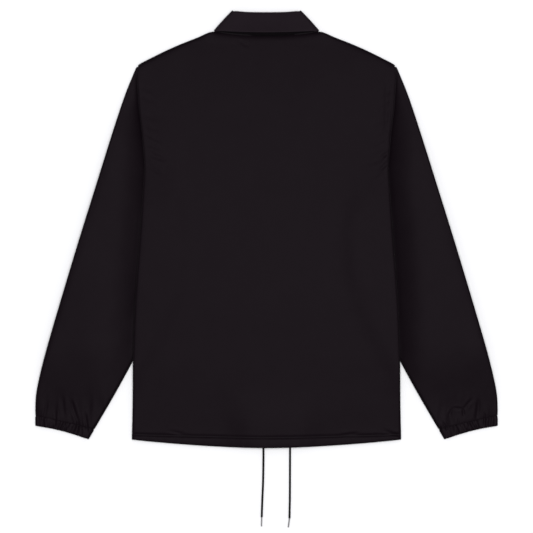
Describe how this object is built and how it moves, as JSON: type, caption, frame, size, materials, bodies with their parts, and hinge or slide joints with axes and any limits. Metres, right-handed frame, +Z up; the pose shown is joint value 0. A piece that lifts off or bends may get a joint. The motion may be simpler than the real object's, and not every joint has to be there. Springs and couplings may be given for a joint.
{
  "type": "coach jacket",
  "caption": "Lightweight shell jacket laid flat face down, back upward, with turned-down collar, elastic gathered cuffs, snap front and a hem drawcord with two free ends",
  "frame": {"origin": "on the surface it lies on, at the middle of the cloth's plan rectangle", "axes": "+X to the picture's right, +Y towards the collar, +Z up out of the surface, away from the underside"},
  "size_m": [0.8152, 0.9108, 0.0123],
  "materials": {
    "shell": "matt black woven nylon",
    "cord": "black braided round cord",
    "tip": "grey plastic film, rolled",
    "snap": "black moulded press stud",
    "eyelet": "black lacquered"
  },
  "bodies": {
    "root": {"back": "shell", "front_left": "shell", "front_right": "shell", "sleeve_left": "shell", "sleeve_right": "shell", "cuff_left": "shell", "cuff_right": "shell", "collar_fall": "shell", "collar_stand": "shell", "snap_1": "snap", "snap_2": "snap", "snap_3": "snap", "snap_4": "snap", "snap_5": "snap", "eyelet_left": "eyelet", "drawcord_left": "cord", "aglet_left": "tip", "eyelet_right": "eyelet", "drawcord_right": "cord", "aglet_right": "tip"}
  },
  "joints": []
}
